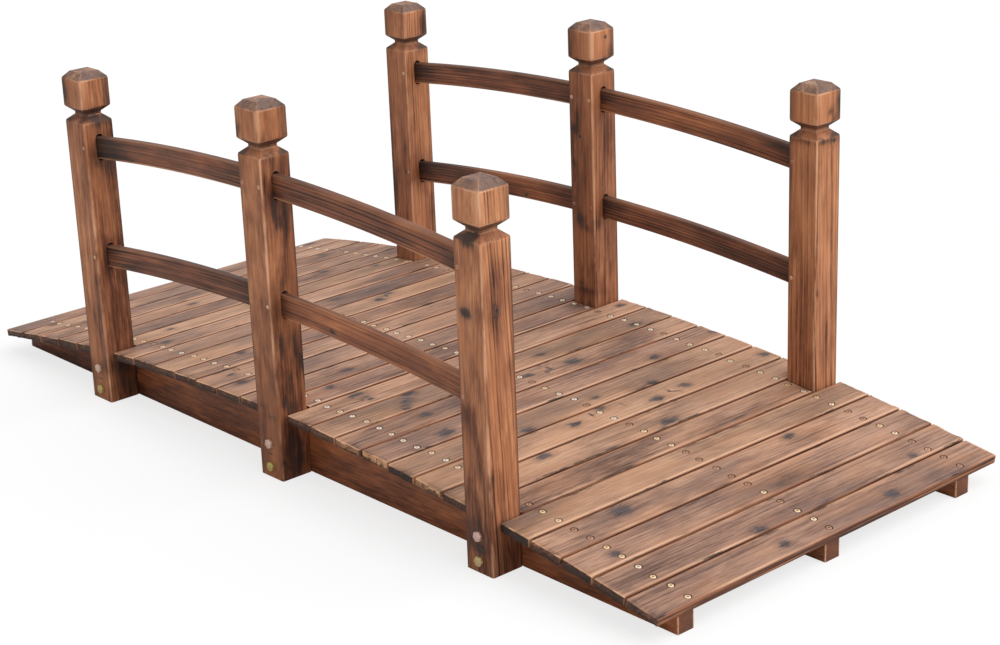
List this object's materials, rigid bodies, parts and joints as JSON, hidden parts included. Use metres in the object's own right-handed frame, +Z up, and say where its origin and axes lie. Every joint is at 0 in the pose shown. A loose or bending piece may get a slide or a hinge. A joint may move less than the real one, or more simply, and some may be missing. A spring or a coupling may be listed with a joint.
{
  "type": "moon bridge",
  "caption": "Small arched wooden garden footbridge with planked ramps, grooved posts and two arched rails a side; stands free on flat ground.",
  "frame": {"origin": "on the ground below the middle of the bridge", "axes": "+X along the walkway towards the front end, +Y across to the right side, +Z up"},
  "size_m": [1.498, 0.684, 0.548],
  "materials": {
    "stringer_wood": "smooth red-brown stain",
    "post_wood": "scorched and stained, worn lighter at the edges",
    "rail_wood": "scorched and stained, dark",
    "deck_wood": "scorched, brushed and weathered",
    "zinc_fixings": "dull zinc plate"
  },
  "bodies": {
    "root": {"left_stringer": "stringer_wood", "middle_stringer": "stringer_wood", "right_stringer": "stringer_wood", "left_rear_post": "post_wood", "left_middle_post": "post_wood", "left_front_post": "post_wood", "right_rear_post": "post_wood", "right_middle_post": "post_wood", "right_front_post": "post_wood", "left_rear_upper_rail": "rail_wood", "left_rear_lower_rail": "rail_wood", "left_front_upper_rail": "rail_wood", "left_front_lower_rail": "rail_wood", "right_rear_upper_rail": "rail_wood", "right_rear_lower_rail": "rail_wood", "right_front_upper_rail": "rail_wood", "right_front_lower_rail": "rail_wood", "deck_board_01": "deck_wood", "deck_board_02": "deck_wood", "deck_board_03": "deck_wood", "deck_board_04": "deck_wood", "deck_board_05": "deck_wood", "deck_board_06": "deck_wood", "deck_board_07": "deck_wood", "deck_board_08": "deck_wood", "deck_board_09": "deck_wood", "deck_board_10": "deck_wood", "deck_board_11": "deck_wood", "deck_board_12": "deck_wood", "deck_board_13": "deck_wood", "deck_board_14": "deck_wood", "deck_board_15": "deck_wood", "deck_board_16": "deck_wood", "deck_board_17": "deck_wood", "deck_board_18": "deck_wood", "deck_board_19": "deck_wood", "deck_board_20": "deck_wood", "deck_board_21": "deck_wood", "deck_board_22": "deck_wood", "deck_board_23": "deck_wood", "deck_board_24": "deck_wood", "deck_board_25": "deck_wood", "deck_board_26": "deck_wood", "deck_board_27": "deck_wood"}
  },
  "joints": []
}
